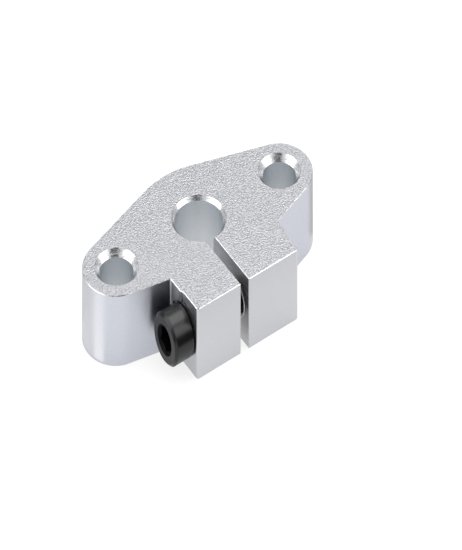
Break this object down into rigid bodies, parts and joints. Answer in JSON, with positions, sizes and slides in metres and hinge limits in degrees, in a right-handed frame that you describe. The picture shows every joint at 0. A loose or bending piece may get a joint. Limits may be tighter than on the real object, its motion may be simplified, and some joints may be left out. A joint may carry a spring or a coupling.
{
  "type": "shaft support block",
  "caption": "Flange-mounted support block that holds the end of a round shaft in a slit bore, closed by a socket head cap screw across two clamp ears.",
  "frame": {"origin": "on the axis of the shaft bore, half way through the block between the mounting face and the top face", "axes": "+Z along the bore, from the mounting face to the top face; +X along the line of the two mounting holes; the clamp ears point towards -Y and the screw head is on the -X side"},
  "size_m": [0.043, 0.024, 0.01],
  "materials": {
    "aluminium": "blasted faces and smooth satin sides, bare aluminium",
    "black_steel": "black oxide on alloy steel, lightly oiled"
  },
  "bodies": {
    "block": {"block": "aluminium"},
    "screw": {"clamp_screw": "black_steel"}
  },
  "joints": [
    {"name": "clamp_screw_turn", "type": "hinge", "parent": "block", "child": "screw", "pos_m": [-0.00985, -0.0103, 0], "axis": [-1, 0, 0], "range_deg": [0, 540]}
  ]
}
